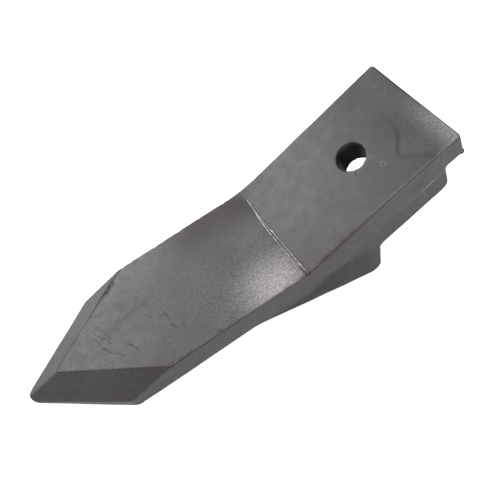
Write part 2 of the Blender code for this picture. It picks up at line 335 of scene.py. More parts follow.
class Pen:
    """Adds shader nodes to one material and links them."""

    def __init__(self, name: str) -> None:
        """Starts a material of that name with a Principled shader."""
        self.material = bpy.data.materials.new(name)
        self.material.use_nodes = True
        self.tree = self.material.node_tree
        self.shader = self.tree.nodes["Principled BSDF"]

    def node(self, kind: str, inputs: dict | None = None, **settings: object) -> bpy.types.Node:
        """A node with its settings made and its inputs linked or filled.

        Args:
            kind: the node type's name.
            inputs: input names or numbers, each with a socket to link or a value to hold.
            settings: the node's own properties.

        Returns:
            The node.
        """
        made = self.tree.nodes.new(kind)
        for name, value in settings.items():
            setattr(made, name, value)
        for key, value in (inputs or {}).items():
            if isinstance(value, Socket):
                self.tree.links.new(value, made.inputs[key])
            else:
                made.inputs[key].default_value = value
        return made

    def feed(self, socket: str, source: Socket) -> None:
        """Links a source to one of the shader's inputs."""
        self.tree.links.new(source, self.shader.inputs[socket])

    def set(self, socket: str, value: float | Colour | tuple[float, float, float]) -> None:
        """Puts a number or a colour straight on one of the shader's inputs."""
        self.shader.inputs[socket].default_value = value

    def place(self) -> Socket:
        """The object's own coordinates."""
        return self.node("ShaderNodeTexCoord").outputs["Object"]

    def attribute(self, name: str) -> Socket:
        """A number stored on the mesh's vertices."""
        return self.node("ShaderNodeAttribute", attribute_name=name).outputs["Fac"]

    def vector_attribute(self, name: str) -> Socket:
        """A vector stored on the mesh's vertices."""
        return self.node("ShaderNodeAttribute", attribute_name=name).outputs["Vector"]

    def noise(self, where: Socket, per_metre: float, detail: float = 4.0,
              rough: float = 0.55) -> Socket:
        """Fractal noise of about that many cells a metre."""
        inputs = {"Vector": where, "Scale": per_metre, "Detail": detail, "Roughness": rough}
        return self.node("ShaderNodeTexNoise", inputs).outputs["Fac"]

    def math(self, operation: str, a: object, b: object = 0.0, clamp: bool = False) -> Socket:
        """One arithmetic step on two numbers or sockets."""
        made = self.node("ShaderNodeMath", {0: a, 1: b}, operation=operation, use_clamp=clamp)
        return made.outputs[0]

    def vector(self, operation: str, a: object, b: object = (0.0, 0.0, 0.0)) -> Socket:
        """One step on two vectors; its number is given for a length or a dot product."""
        made = self.node("ShaderNodeVectorMath", {0: a, 1: b}, operation=operation)
        return made.outputs["Value" if operation in ("LENGTH", "DOT_PRODUCT") else "Vector"]

    def scaled(self, a: object, factor: object) -> Socket:
        """A vector times a number."""
        made = self.node("ShaderNodeVectorMath", {0: a, "Scale": factor}, operation="SCALE")
        return made.outputs["Vector"]

    def grey(self, value: Socket) -> Socket:
        """A number as a colour."""
        inputs = {"Red": value, "Green": value, "Blue": value}
        return self.node("ShaderNodeCombineColor", inputs).outputs["Color"]

    def span(self, value: Socket, low: float, high: float, to_low: float = 0.0,
             to_high: float = 1.0) -> Socket:
        """The value carried smoothly from one range to another, and held at its ends."""
        made = self.node("ShaderNodeMapRange", {"Value": value, "From Min": low, "From Max": high,
                                                "To Min": to_low, "To Max": to_high},
                         interpolation_type="SMOOTHSTEP")
        return made.outputs["Result"]

    def mix(self, factor: object, a: object, b: object, blend: str = "MIX") -> Socket:
        """Two colours blended by the factor."""
        made = self.node("ShaderNodeMix", {"Factor": factor, 6: a, 7: b}, data_type="RGBA",
                         blend_type=blend)
        return made.outputs[2]

    def bump(self, height: Socket, strength: float, distance: float,
             before: Socket | None = None) -> Socket:
        """A bump of the height in metres times the distance, over an earlier one."""
        inputs = {"Height": height, "Strength": strength, "Distance": distance}
        if before is not None:
            inputs["Normal"] = before
        return self.node("ShaderNodeBump", inputs).outputs["Normal"]


def shade(grey: float, warmth: float = 0.0) -> Colour:
    """A linear steel grey, faintly rose, its red raised and its blue lowered by the warmth."""
    return (grey * (1.036 + warmth), grey, grey * (1.018 - warmth), 1.0)


@dataclass(frozen=True)
class Stroke:
    """One dark mark on the top, as a soft line between two places along and across the blade; most are
    scuffs, and those along the crease are painted shade.

    Attributes:
        start: distance from the crease and distance from the middle line, in metres.
        end: the same for its other end.
        width: how far from its line it fades out.
        depth: how dark it is, 0 to 1.
    """

    start: tuple[float, float]
    end: tuple[float, float]
    width: float
    depth: float


SCUFFS = (
    Stroke((0.1172, -0.0098), (0.1140, -0.0052), 0.0007, 0.36),
    Stroke((0.1164, -0.0110), (0.1136, -0.0070), 0.0006, 0.30),
    Stroke((0.1187, -0.0072), (0.1156, -0.0006), 0.0007, 0.34),
    Stroke((0.1176, -0.0050), (0.1150, -0.0018), 0.0006, 0.26),
    Stroke((0.1150, -0.0068), (0.1120, -0.0034), 0.0012, 0.32),
    Stroke((0.1149, -0.0008), (0.1120, 0.0047), 0.0009, 0.40),
    Stroke((0.1134, -0.0026), (0.1118, 0.0012), 0.0014, 0.40),
    Stroke((0.1196, -0.0035), (0.1172, 0.0044), 0.0006, 0.36),
    Stroke((0.1172, 0.0044), (0.1158, 0.0072), 0.0009, 0.75),
    Stroke((0.1158, 0.0072), (0.1140, 0.0100), 0.0006, 0.50),
    Stroke((0.1140, 0.0100), (0.1098, 0.0134), 0.0007, 0.36),
    Stroke((0.1104, 0.0124), (0.1086, 0.0150), 0.0009, 0.30),
    Stroke((0.1062, 0.0033), (0.1039, 0.0112), 0.0006, 0.32),
    Stroke((0.1034, 0.0104), (0.1022, 0.0134), 0.0010, 0.50),
    Stroke((0.1018, 0.0134), (0.0998, 0.0178), 0.0007, 0.55),
    Stroke((0.1190, 0.0108), (0.1166, 0.0142), 0.0008, 0.26),
    Stroke((0.0812, 0.0074), (0.0795, 0.0067), 0.0008, 0.34),
    Stroke((0.0795, 0.0067), (0.0780, 0.0078), 0.0008, 0.36),
    Stroke((0.0780, 0.0078), (0.0780, 0.0114), 0.0009, 0.36),
    Stroke((0.0786, 0.0146), (0.0764, 0.0186), 0.0009, 0.45),
    Stroke((0.0736, 0.0043), (0.0713, 0.0075), 0.0010, 0.22),
    Stroke((0.0836, -0.0053), (0.0927, -0.0060), 0.0028, 0.16),
    Stroke((0.0927, -0.0060), (0.1028, -0.0044), 0.0032, 0.20),
    Stroke((0.1028, -0.0044), (0.1140, -0.0012), 0.0034, 0.24),
    Stroke((0.1018, -0.0173), (0.0977, -0.0112), 0.0026, 0.18),
    Stroke((0.1183, -0.0180), (0.1094, -0.0152), 0.0024, 0.14),
)
VEE_SCARS = (
    Stroke((0.0890, -0.0359), (0.0970, -0.0306), 0.0018, 0.55),
    Stroke((0.0975, -0.0300), (0.1035, -0.0266), 0.0034, 0.85),
    Stroke((0.1035, -0.0268), (0.1085, -0.0238), 0.0022, 0.75),
    Stroke((0.1085, -0.0240), (0.1160, -0.0192), 0.0011, 0.50),
)
# Painted shade: a dark line along the foot of the crease, where the blade meets the strap.
CREASE_SHADE = (
    Stroke((0.0006, -0.0300), (0.0012, -0.0120), 0.0008, 0.30),
    Stroke((0.0012, -0.0120), (0.0007, 0.0110), 0.0008, 0.38),
    Stroke((0.0007, 0.0110), (-0.0004, 0.0355), 0.0007, 0.30),
)
PITS = (
    Stroke((-0.0998, 0.0224), (-0.0996, 0.0226), 0.0006, 0.70),
    Stroke((-0.0719, -0.0127), (-0.0716, -0.0125), 0.0009, 0.30),
    Stroke((-0.0723, -0.0230), (-0.0720, -0.0229), 0.0009, 0.30),
    Stroke((-0.0560, -0.0205), (-0.0555, -0.0200), 0.0007, 0.35),
    Stroke((-0.0180, -0.0130), (-0.0150, -0.0142), 0.0008, 0.30),
)
VEE_EDGES = (
    Stroke((0.1462, -0.0004), (0.0890, -0.0361), 0.00075, 0.62),
    Stroke((0.1462, 0.0004), (0.0890, 0.0361), 0.00060, 0.35),
)


@dataclass(frozen=True)
class ForgedSteel:
    """The tooth's finish: dark grey alloy steel as it left the die, finely grained, lightly rusted, with
    painted light, shade and glints.

    Attributes:
        base: the steel's linear grey.
        warmth: how far its red is raised and its blue lowered.
        rust: the colour of rusty edges.
        stain: the colour of the thin brown film near them.
        roughness: the shader's roughness on plain skin.
        metallic: the shader's metallic share.
        reflectance: the shader's specular level.
        glance: the tint of its grazing reflection.
        low_dark_and_hole_shade_depth: how far the darker lower side and heel, and the painted shade
            inside the hole, darken the skin.
        ground_tone: how much of its paleness a ground bevel keeps.
        cloud_rate: cells a metre of the widest mottle.
        mottle_rate: cells a metre of the middle mottle.
        grain_rate: cells a metre of the grain.
        fine_rate: cells a metre of the finest grain.
        grind_turn: the way the grinding streaks run, from the blade's length.
        grind_cell: the streaks' length, width and depth, in metres.
        ring_place: the middle of the punched ring, as a tooth_place.
        ring_radius: the punched ring's radius.
        ring_width: how far from its line the ring fades out.
    """

    base: float = 0.085
    warmth: float = 0.004
    rust: Colour = (0.078, 0.056, 0.045, 1.0)
    stain: Colour = (0.072, 0.057, 0.050, 1.0)
    roughness: float = 0.50
    metallic: float = 0.80
    reflectance: float = 0.40
    glance: Colour = (0.72, 0.72, 0.72, 1.0)
    low_dark_and_hole_shade_depth: float = 0.80
    ground_tone: float = 0.80
    cloud_rate: float = 38.0
    mottle_rate: float = 160.0
    grain_rate: float = 1500.0
    fine_rate: float = 2600.0
    grind_turn: float = radians(-32)
    grind_cell: tuple[float, float, float] = (0.030, 0.0007, 0.015)
    ring_place: tuple[float, float, float] = (-0.0695, 0.0173, 0.0)
    ring_radius: float = 0.0014
    ring_width: float = 0.0006

    def stroke(self, pen: Pen, where: Socket, stroke: Stroke) -> Socket:
        """How dark one mark makes a place: full on its line, nothing at its width.

        The distance is that from the place to its nearest point on the line: A + t (B - A), with
        t = (place - A) . (B - A) / |B - A|^2 held between 0 and 1.
        """
        start = Vector((*stroke.start, 0.0))
        way = Vector((*stroke.end, 0.0)) - start
        away = pen.vector("SUBTRACT", where, tuple(start))
        share = pen.math("DIVIDE", pen.vector("DOT_PRODUCT", away, tuple(way)), way.length_squared,
                         clamp=True)
        along = pen.scaled(tuple(way), share)
        distance = pen.vector("LENGTH", pen.vector("SUBTRACT", away, along))
        return pen.span(distance, 0.15 * stroke.width, stroke.width, stroke.depth, 0.0)

    def marks(self, pen: Pen, strokes: tuple[Stroke, ...], ragged: float) -> Socket:
        """The darkest of several marks at each place, with their lines made ragged by noise."""
        place = pen.vector_attribute("tooth_place")
        wander = pen.node("ShaderNodeTexNoise", {"Vector": place, "Scale": 700.0, "Detail": 3.0})
        shift = pen.scaled(pen.vector("SUBTRACT", wander.outputs["Color"], (0.5, 0.5, 0.5)), ragged)
        place = pen.vector("ADD", place, shift)
        total = self.stroke(pen, place, strokes[0])
        for stroke in strokes[1:]:
            total = pen.math("MAXIMUM", total, self.stroke(pen, place, stroke))
        return total

    def ring(self, pen: Pen) -> Socket:
        """A small ring punched into the strap beside the hole: 1 on its rim and 0 away from it."""
        offset = pen.vector("SUBTRACT", pen.vector_attribute("tooth_place"), self.ring_place)
        away = pen.vector("LENGTH", offset)
        off = pen.math("ABSOLUTE", pen.math("SUBTRACT", away, self.ring_radius))
        return pen.span(off, 0.0, self.ring_width, 1.0, 0.0)

    def darkened(self, pen: Pen, tone: Socket, share: Socket) -> Socket:
        """A tone less that share of itself."""
        return pen.math("MULTIPLY", tone, pen.math("SUBTRACT", 1.0, share))

    def tone(self, pen: Pen, spot: Socket, grain: Socket) -> Socket:
        """How pale each place is: the stored tone with its painted light and shade, then painted glints,
        pits, the darker lower side and heel with the painted shade in the hole, scuffs, the painted
        shade along the crease and the ring.
        """
        # Painted glints: grain cells on the coarse skin made paler, as if catching the light.
        painted_glint = pen.math("MULTIPLY", pen.span(grain, 0.40, 0.62, 0.62, -0.16), pen.attribute("coarse_and_glint"))
        tone = pen.math("MULTIPLY", pen.attribute("tone"), pen.math("ADD", 1.0, painted_glint))
        tone = pen.math("MULTIPLY", tone, pen.span(grain, 0.57, 0.72, 1.0, 0.80))
        # Darker on the lower side and heel, and painted shade inside the hole.
        low_dark_and_hole_shade = pen.math("MULTIPLY", pen.attribute("low_dark_and_hole_shade"), self.low_dark_and_hole_shade_depth)
        tone = self.darkened(pen, tone, low_dark_and_hole_shade)
        broken = pen.span(pen.noise(spot, 1000, 2), 0.38, 0.60, 0.30, 1.0)
        for strokes, ragged in ((SCUFFS + PITS, 0.0012), (VEE_SCARS, 0.0016)):
            scuffed = pen.math("MULTIPLY", self.marks(pen, strokes, ragged), broken)
            tone = self.darkened(pen, tone, scuffed)
        # Painted shade along the crease.
        tone = self.darkened(pen, tone, self.marks(pen, CREASE_SHADE, 0.0003))
        hollows = pen.span(pen.noise(spot, 640, 2), 0.66, 0.74, 1.0, 0.66)
        tone = pen.math("MULTIPLY", tone, hollows)
        tone = self.darkened(pen, tone, self.marks(pen, VEE_EDGES, 0.0002))
        return pen.math("ADD", tone, pen.math("MULTIPLY", self.ring(pen), 0.5))

    def grinding(self, pen: Pen) -> Socket:
        """The ground bevels' tint, streaked the way the wheel ran, and white elsewhere."""
        mirrored = pen.vector("ABSOLUTE", pen.vector_attribute("tooth_place"))
        turned = pen.node("ShaderNodeMapping", {"Vector": mirrored, "Scale": self.grind_cell,
                                                "Rotation": (0, 0, self.grind_turn)},
                          vector_type="TEXTURE")
        streaks = pen.span(pen.noise(turned.outputs["Vector"], 1.0, 3, 0.6), 0.3, 0.7, 0.93, 1.06)
        tint = pen.grey(pen.math("MULTIPLY", streaks, self.ground_tone))
        return pen.mix(pen.attribute("ground"), (1.0, 1.0, 1.0, 1.0), tint)

    def relief(self, pen: Pen, mottled: Socket, grain: Socket, fine: Socket) -> Socket:
        """The bumps too fine for the mesh: mottle, grain, the rough patches and the ring's rim."""
        relief = pen.bump(mottled, 0.08, 0.0005)
        relief = pen.bump(grain, 0.35, 0.00015, relief)
        relief = pen.bump(pen.math("MULTIPLY", grain, pen.attribute("coarse_and_glint")), 0.6, 0.00035, relief)
        relief = pen.bump(fine, 0.20, 0.00006, relief)
        return pen.bump(self.ring(pen), 0.6, 0.0002, relief)

    def material(self) -> bpy.types.Material:
        """Builds the finish: mottled colour, rust at the edges, scuffs, and three sizes of grain."""
        pen = Pen("tooth_steel")
        spot = pen.place()
        cloudy = pen.noise(spot, self.cloud_rate, 3)
        mottled = pen.noise(spot, self.mottle_rate, 5, 0.6)
        grain = pen.noise(spot, self.grain_rate, 3, 0.65)
        fine = pen.noise(spot, self.fine_rate, 2, 0.5)

        colour = pen.mix(pen.span(cloudy, 0.30, 0.70), shade(self.base * 0.95, self.warmth),
                         shade(self.base * 1.06, self.warmth))
        colour = pen.mix(pen.math("MULTIPLY", pen.span(mottled, 0.45, 0.80), 0.22), colour,
                         shade(self.base * 1.4, self.warmth))
        # The tone carries the painted light, shade and glints as well as the marks.
        colour = pen.mix(1.0, colour, pen.grey(self.tone(pen, spot, grain)), "MULTIPLY")
        colour = pen.mix(1.0, colour, self.grinding(pen), "MULTIPLY")
        rusted = pen.attribute("rusted")
        rusty = pen.math("MULTIPLY", pen.span(mottled, 0.40, 0.62), pen.attribute("edge"))
        rusty = pen.math("MULTIPLY", rusty, rusted)
        colour = pen.mix(pen.math("MULTIPLY", rusty, 0.60), colour, self.rust)
        stained = pen.math("MULTIPLY", rusted, pen.span(cloudy, 0.35, 0.65, 0.14, 0.44))
        pen.feed("Base Color", pen.mix(stained, colour, self.stain))

        roughness = pen.span(mottled, 0.3, 0.7, self.roughness - 0.04, self.roughness + 0.06)
        polish = pen.math("MULTIPLY", pen.attribute("ground"), 0.06)
        roughness = pen.math("SUBTRACT", roughness, polish)
        roughness = pen.math("ADD", roughness, pen.math("MULTIPLY", rusty, 0.15))
        pen.feed("Roughness", roughness)
        pen.set("Metallic", self.metallic)
        pen.set("Specular IOR Level", self.reflectance)
        pen.set("Specular Tint", self.glance)
        pen.feed("Normal", self.relief(pen, mottled, grain, fine))
        return pen.material


@dataclass(frozen=True)
class BrightFlash:
    """A thin bead where the dies met, real in shape, its steel painted paler than the skin as a painted
    highlight for the light it catches.
    """

    bright: float = 0.40
    dull: float = 0.20
    break_rate: float = 420.0
    metallic: float = 0.9

    def material(self) -> bpy.types.Material:
        """Builds the finish: steel painted light as a highlight, with darker breaks along it."""
        pen = Pen("flash_steel")
        breaks = pen.noise(pen.place(), self.break_rate, 3, 0.6)
        # Painted highlight: the bead's steel is made pale for the light a raised bead catches.
        colour = pen.mix(pen.span(breaks, 0.40, 0.62), shade(self.bright), shade(self.dull))
        pen.feed("Base Color", colour)
        pen.feed("Roughness", pen.span(breaks, 0.3, 0.7, 0.30, 0.45))
        pen.set("Metallic", self.metallic)
        pen.feed("Normal", pen.bump(breaks, 0.5, 0.0003))
        return pen.material


@dataclass(frozen=True)
class BlackBolt:
    """Black-oxide high-tensile steel with a thin film of oil."""

    dark: float = 0.030
    oily: float = 0.062
    bare: float = 0.22
    metallic: float = 0.85

    def material(self) -> bpy.types.Material:
        """Builds the finish: near-black satin, worn at its corners and crests."""
        pen = Pen("bolt_steel")
        spot = pen.place()
        patch = pen.noise(spot, 260, 4)
        colour = pen.mix(pen.span(patch, 0.35, 0.7), shade(self.dark, 0.02), shade(self.oily, 0.03))
        wear_and_edge_highlight = pen.math("MULTIPLY", pen.attribute("edge"), pen.span(patch, 0.35, 0.6))
        colour = pen.mix(pen.math("MULTIPLY", wear_and_edge_highlight, 0.6), colour, shade(self.bare))
        pen.feed("Base Color", colour)
        pen.feed("Roughness", pen.span(patch, 0.3, 0.7, 0.32, 0.46))
        pen.set("Metallic", self.metallic)
        pen.feed("Normal", pen.bump(pen.noise(spot, 2600, 2), 0.25, 0.0001))
        return pen.material


@dataclass(frozen=True)
class ZincPlate:
    """Clear zinc plate, satin, with the faint cloudiness of the passivate."""

    name: str = "zinc"
    cool: Colour = (0.250, 0.260, 0.272, 1.0)
    warm: Colour = (0.295, 0.290, 0.264, 1.0)
    speck: float = 0.18
    metallic: float = 0.92

    def material(self) -> bpy.types.Material:
        """Builds the finish: pale grey metal with cool and warm clouds and dark specks."""
        pen = Pen(self.name)
        spot = pen.place()
        cloud = pen.noise(spot, 140, 3)
        colour = pen.mix(pen.span(cloud, 0.3, 0.7), self.cool, self.warm)
        specks = pen.span(pen.noise(spot, 900, 2), 0.62, 0.75, 0.0, 0.5)
        pen.feed("Base Color", pen.mix(specks, colour, shade(self.speck)))
        pen.feed("Roughness", pen.span(cloud, 0.3, 0.7, 0.28, 0.40))
        pen.set("Metallic", self.metallic)
        pen.feed("Normal", pen.bump(pen.noise(spot, 1800, 2), 0.2, 0.0001))
        return pen.material


@dataclass(frozen=True)
class BlueNylon:
    """The lock nut's ring: dyed nylon, a little glossy, with moulding haze."""

    deep: Colour = (0.035, 0.115, 0.36, 1.0)
    pale: Colour = (0.06, 0.165, 0.45, 1.0)

    def material(self) -> bpy.types.Material:
        """Builds the finish: blue plastic with a faint mottle."""
        pen = Pen("nylon_insert")
        haze = pen.noise(pen.place(), 500, 3)
        pen.feed("Base Color", pen.mix(pen.span(haze, 0.3, 0.7), self.deep, self.pale))
        pen.feed("Roughness", pen.span(haze, 0.3, 0.7, 0.32, 0.42))
        pen.set("Subsurface Weight", 0.08)
        pen.set("Subsurface Radius", (0.0004, 0.0006, 0.0012))
        return pen.material


@dataclass(frozen=True)
class PaleFloor:
    """A plain white studio floor, lit a little from within like a light table."""

    white: Colour = (0.55, 0.55, 0.55, 1.0)
    glow: float = 0.86

    def material(self) -> bpy.types.Material:
        """Builds the finish: matte white with a weak glow."""
        pen = Pen("pale_floor")
        pen.set("Base Color", self.white)
        pen.set("Roughness", 0.9)
        pen.set("Specular IOR Level", 0.1)
        pen.set("Emission Color", (1.0, 1.0, 1.0, 1.0))
        pen.set("Emission Strength", self.glow)
        return pen.material


# ---- the tooth ----

@dataclass
class ToothBody:
    """The forged tooth: strap, blade, flanges and heel in one skin.

    Lengths along the blade run from the crease, depths from the strap's or the blade's top, and
    places named x from the strap's rear end. The radii round the edges and fill the corners
    between the faces that they are named for.
    """

    width: float = 0.0725
    rear_width: float = 0.0709
    strap_length: float = 0.1055
    strap_thickness: float = 0.0185
    blade_pitch: float = radians(19.9)
    blade_thickness: float = 0.0210
    shoulder: float = 0.0887
    apex: float = 0.1468
    bevel_run: float = 0.0296
    bevel_depth: float = 0.0097
    nose: float = 0.1728
    nose_thickness: float = 0.0112
    nose_radius: float = 0.0060
    hole_x: float = 0.0454
    hole_radius: float = 0.00875
    flange_rear: float = 0.0124
    flange_bottom: float = 0.0428
    channel_width: float = 0.0445
    seat_depth: float = 0.0211
    stop_x: float = 0.0661
    heel_x: float = 0.0761
    heel_depth: float = 0.0802
    knee_x: float = 0.1466
    knee_depth: float = 0.0087
    heel_radius: float = 0.0060
    flange_radius: float = 0.0060
    flange_root_radius: float = 0.0045
    knee_radius: float = 0.0020
    taper_radius: float = 0.0100
    crease_radius: float = 0.0008
    far_crease_radius: float = 0.0600
    ridge_radius: float = 0.0035
    vee_radius: float = 0.0005
    top_radius: float = 0.0008
    side_radius: float = 0.0014
    rear_radius: float = 0.0024
    shoulder_radius: float = 0.0015
    channel_radius: float = 0.0040
    seat_radius: float = 0.0035
    channel_lip: float = 0.0012
    hole_lip: float = 0.0004
    hole_shrink: float = 0.00015
    draft: float = radians(1.5)
    flange_lean: float = 0.054
    ledge: float = 0.00010
    ledge_fade: float = 0.0020
    root_dip: float = 0.00048
    dip_length: float = 0.030
    step: float = 0.00095
    full_depth: float = 0.124
    bead_step: float = 0.0004
    bead_taper: float = 0.004
    to_world: Matrix = field(default_factory=Matrix)

    def __post_init__(self) -> None:
        """Takes the tooth's place from the mounts on its strap and its heel."""
        mounts = {mount["name"]: mount for mount in frame["record"]["mounts"]}
        up = Vector(mounts["bolt_seat"]["axis"]).normalized()
        forward = -Vector(mounts["bar_stop"]["axis"]).normalized()
        left = up.cross(forward)
        origin = (up * up.dot(Vector(mounts["bolt_seat"]["pos_m"]))
                  + forward * (forward.dot(Vector(mounts["bar_stop"]["pos_m"])) - self.stop_x))
        axes = Matrix((forward, left, up)).transposed().to_4x4()
        self.to_world = Matrix.Translation(origin) @ axes

    def blade_point(self, along: float, depth: float, y: float = 0.0) -> tuple[float, float, float]:
        """The point so far along the blade's top from the crease, and so deep below it."""
        c, s = cos(self.blade_pitch), sin(self.blade_pitch)
        return (self.strap_length + along * c + depth * s, y, along * s - depth * c)

    def blade_way(self, along: float, across: float, up: float) -> tuple[float, float, float]:
        """A direction given along the blade, to its left and out of its top."""
        c, s = cos(self.blade_pitch), sin(self.blade_pitch)
        return (along * c - up * s, across, along * s + up * c)

    def profile(self, place: Place) -> tuple[Samples, Samples]:
        """The side view, without limits across.

        Returns:
            The top alone, and the plate with flange and heel below that top.
        """
        shoulder_end = self.shoulder + self.bevel_run
        taper = (self.blade_thickness - self.nose_thickness) / (self.nose - shoulder_end)
        blade_top = place.plane(self.blade_point(0, 0), self.blade_way(0, 0, 1))
        x, y, z = place.points
        along = (x - self.strap_length) * cos(self.blade_pitch) + z * sin(self.blade_pitch)
        dip = self.root_dip * np.exp(-np.maximum(along, 0.0)**2 / self.dip_length**2)
        blade_top.value = blade_top.value + dip * (1 - 0.85 * smooth_step(y, 0.024, 0.037))
        far = smooth_step(-place.across, 0.022, 0.037)**2
        crease = self.crease_radius + self.far_crease_radius * far
        top = join(place.plane((0, 0, 0), (0, 0, 1)), blade_top, crease, cos(self.blade_pitch))
        under = meet(place.plane((0, 0, -self.strap_thickness), (0, 0, -1)),
                     place.plane(self.blade_point(0, self.blade_thickness), self.blade_way(0, 0, -1)),
                     self.knee_radius)
        under = meet(under, place.plane(self.blade_point(shoulder_end, self.blade_thickness),
                                        self.blade_way(taper, 0, -1)), self.taper_radius)
        flange = meet(place.plane((self.flange_rear, 0, -self.strap_thickness),
                                  (-1, 0, -self.flange_lean)),
                      place.plane((0, 0, -self.flange_bottom), (0, 0, -1)), self.flange_radius)
        drop = self.heel_depth - self.flange_bottom
        heel = place.plane((self.stop_x, 0, -self.flange_bottom),
                           (-drop, 0, self.stop_x - self.heel_x))
        rise = self.heel_depth - self.knee_depth
        belly = place.plane((self.heel_x, 0, -self.heel_depth),
                            (rise, 0, self.heel_x - self.knee_x))
        block = meet(join(flange, heel, self.flange_root_radius), belly, self.heel_radius)
        fillet = 0.0015 + 0.014 * smooth_step(x, 0.080, 0.110)
        return top, join(under, block, fillet)

    def flanks(self, place: Place) -> Samples:
        """The outer side: upright down to the plate's lower edge, then leaning in to the heel.

        Below that edge the side stands back by a soft ledge and by the draft: at depth w it is
        in by ledge (1 - exp(-w / fade)) + w tan(draft).
        """
        x, y, z = place.points
        widening = (self.width - self.rear_width) / 2
        half = self.rear_width / 2 + widening * np.clip(x / self.strap_length, 0, 1)
        c, s = cos(self.blade_pitch), sin(self.blade_pitch)
        strap_depth = -z - self.strap_thickness
        blade_depth = (x - self.strap_length) * s - z * c - self.blade_thickness
        deeper = strap_depth > blade_depth
        below = np.maximum(np.where(deeper, strap_depth, blade_depth), 0.0)
        inset = self.ledge * (1 - np.exp(-below / self.ledge_fade)) + below * tan(self.draft)
        value = y - half + inset
        if not place.with_slope:
            return Samples(value)
        leaning = self.ledge / self.ledge_fade * np.exp(-below / self.ledge_fade) + tan(self.draft)
        rate = np.where(below > 0, leaning, 0.0)
        slope = np.stack([rate * np.where(deeper, 0.0, s), np.ones_like(y),
                          rate * np.where(deeper, -1.0, -c)])
        size = np.linalg.norm(slope, axis=0)
        return Samples(value / size, slope / size)

    def bevels(self, place: Place) -> Samples:
        """The two ground faces of the spear point, with a rounded ridge between them."""
        half = self.width / 2
        along, across, down = self.apex - self.shoulder, -half, -self.bevel_depth
        normal = np.cross((along, across, 0), (self.bevel_run, 0, down))
        corner = self.blade_point(self.shoulder, 0, half)
        near = place.plane(corner, self.blade_way(*normal))
        mirrored = (normal[0], -normal[1], normal[2])
        far = place.plane(self.blade_point(self.shoulder, 0, -half), self.blade_way(*mirrored))
        return meet(near, far, self.ridge_radius)

    def point_sides(self, place: Place) -> Samples:
        """The blunt faces under the bevels, meeting in the rounded nose."""
        half, shoulder_end = self.width / 2, self.shoulder + self.bevel_run
        run = self.nose - shoulder_end
        near = place.plane(self.blade_point(shoulder_end, 0, half), self.blade_way(half, run, 0))
        far = place.plane(self.blade_point(shoulder_end, 0, -half), self.blade_way(half, -run, 0))
        return meet(near, far, self.nose_radius)

    def distance(self, points: Array, with_slope: bool) -> Samples:
        """The whole tooth's distance field.

        Args:
            points: a (3, points) array in the tooth's frame.
            with_slope: whether the gradient is wanted too.

        Returns:
            The samples.
        """
        place = Place(points, with_slope)
        top, lower = self.profile(place)
        side = meet(self.flanks(place), self.point_sides(place), self.shoulder_radius)
        side = meet(side, place.plane((0, 0, 0), (-1, 0, 0)), self.rear_radius)
        body = meet(lower, side, self.side_radius)
        crown = meet(top, self.bevels(place), self.vee_radius)
        body = meet(body, crown, self.top_radius)
        channel = meet(place.plane((self.stop_x, 0, 0), (1, 0, 0)),
                       place.plane((0, self.channel_width / 2, 0), (0, 1, 0)), self.channel_radius)
        channel = meet(channel, place.plane((0, 0, -self.seat_depth), (0, 0, 1)), self.seat_radius)
        body = carve(body, channel, self.channel_lip)
        hole = place.upright_cylinder(self.hole_x, self.hole_radius - self.hole_shrink)
        body = carve(body, hole, self.hole_lip)
        if with_slope:
            same = np.ones_like(points[1])
            body.slope = body.slope * np.stack([same, np.where(points[1] < 0, -1.0, 1.0), same])
        return body

    def settle(self, points: Array, rounds: int) -> tuple[Array, Array]:
        """Moves points on to the surface along the gradient: point - distance x gradient, repeated."""
        for _ in range(rounds):
            found = self.distance(points.T, True)
            points = points - (found.value * found.slope).T
        return points, self.distance(points.T, True).slope.T

    def blade_place(self, points: Array) -> Array:
        """Along the blade from the crease, across it, and depth below its top, as (points, 3)."""
        c, s = cos(self.blade_pitch), sin(self.blade_pitch)
        dx, z = points[:, 0] - self.strap_length, points[:, 2]
        return np.stack([dx * c + z * s, points[:, 1], dx * s - z * c], 1)

    def relief(self, points: Array) -> Array:
        """How far the forged skin stands proud: waviness of three sizes, less the chips and the lap.

        The chips lie along the upper edges of strap and blade, where a short ripple is over 0.2.
        The lap drops the strap's top behind its line by 0.14 mm.
        """
        p = points.T
        height = (0.00005 * ripple(p, 0.034, 3) + 0.000012 * ripple(p, 0.012, 5)
                  + 0.000005 * ripple(p, 0.0055, 7))
        x, y, z = p
        on_top = smooth_step(z, -0.0015, -0.0005) * (x < self.strap_length - 0.002)
        depth = np.where(x > self.strap_length, (x - self.strap_length) * sin(self.blade_pitch)
                         - z * cos(self.blade_pitch), -z)
        rim = (smooth_step(np.abs(y), self.width / 2 - 0.0022, self.width / 2 - 0.0008)
               * smooth_step(0.0022 - depth, 0.0, 0.0016))
        deep = np.where(x > self.strap_length, 0.00016, 0.00006)
        height = height - deep * rim * np.maximum(ripple(p, 0.0050, 11) - 0.2, 0.0)
        behind = smooth_step(self.lap_line(y) - x, -0.0010, 0.0012)
        height = height - 0.00014 * behind * on_top * smooth_step(y, -0.004, 0.008)
        return height

    def lap_line(self, y: Array) -> Array:
        """How far from the strap's rear end a shallow lap in its top runs, for each place across."""
        across = np.array([-0.0100, -0.0006, 0.0067, 0.0123, 0.0157, 0.0186,
                           0.0211, 0.0236, 0.0263, 0.0292, 0.0336])
        back = np.array([0.0150, 0.0186, 0.0188, 0.0221, 0.0254, 0.0276,
                         0.0284, 0.0262, 0.0235, 0.0196, 0.0172])
        return np.interp(y, across, back)

